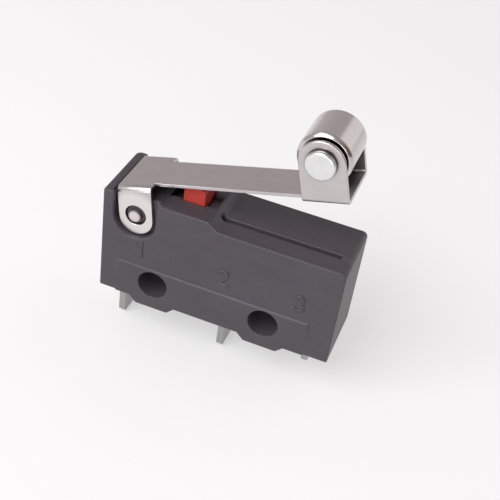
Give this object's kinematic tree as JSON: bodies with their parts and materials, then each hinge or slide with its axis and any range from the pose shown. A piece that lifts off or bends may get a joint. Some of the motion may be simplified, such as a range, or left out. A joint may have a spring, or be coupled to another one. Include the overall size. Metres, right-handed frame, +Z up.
{
  "type": "lever micro switch",
  "caption": "Sub-miniature snap-action switch: a moulded case with cross holes, a hinged sheet lever carrying a steel roller, a red plunger, and flat terminal blades below.",
  "frame": {"origin": "midway between the two mounting holes, at mid depth of the case", "axes": "+X along the case from the hinge towards the roller, +Y through the mounting holes towards the back, +Z up towards the lever"},
  "size_m": [0.0198, 0.0064, 0.0231],
  "materials": {
    "case": "dark grey moulded thermoplastic, fine satin",
    "plunger": "red moulded thermoplastic",
    "lever_sheet": "rolled stainless sheet",
    "axle": "bright plated rivet",
    "roller": "turned steel",
    "terminal": "tinned brass, bare at the cut ends",
    "spring": "copper alloy spring strip",
    "contact": "silver rivet"
  },
  "bodies": {
    "case": {"base": "case", "cover": "case", "com_terminal": "terminal", "no_terminal": "terminal", "nc_terminal": "terminal", "no_contact": "contact", "nc_contact": "contact", "snap_spring": "spring"},
    "lever_body": {"lever": "lever_sheet", "roller_axle": "axle"},
    "roller_body": {"roller": "roller"},
    "plunger_body": {"plunger": "plunger"},
    "blade_body": {"moving_blade": "spring", "moving_contact": "contact"}
  },
  "joints": [
    {"name": "lever_hinge", "type": "hinge", "parent": "case", "child": "lever_body", "pos_m": [-0.00685, 0, 0.00587], "axis": [0, 1, 0], "range_deg": [0, 15.4], "stiffness_Nm_per_rad": 0.005, "springref_deg": -22.92},
    {"name": "roller_spin", "type": "hinge", "parent": "lever_body", "child": "roller_body", "pos_m": [0.00668, 0.0001, 0.0153], "axis": [0, 1, 0], "continuous": true},
    {"name": "plunger_slide", "type": "slide", "parent": "case", "child": "plunger_body", "axis": [0, 0, -1], "range_m": [0, 0.00119], "deforming": ["snap_spring"]},
    {"name": "blade_hinge", "type": "hinge", "parent": "case", "child": "blade_body", "pos_m": [-0.00338, 0, 0.0048], "axis": [0, 1, 0], "range_deg": [0, 2.52]}
  ],
  "couplings": [
    {"joint": "plunger_slide", "follows": "lever_hinge", "m_per_rad": 0.0043873},
    {"joint": "blade_hinge", "follows": "lever_hinge", "ratio": 0.1623}
  ]
}
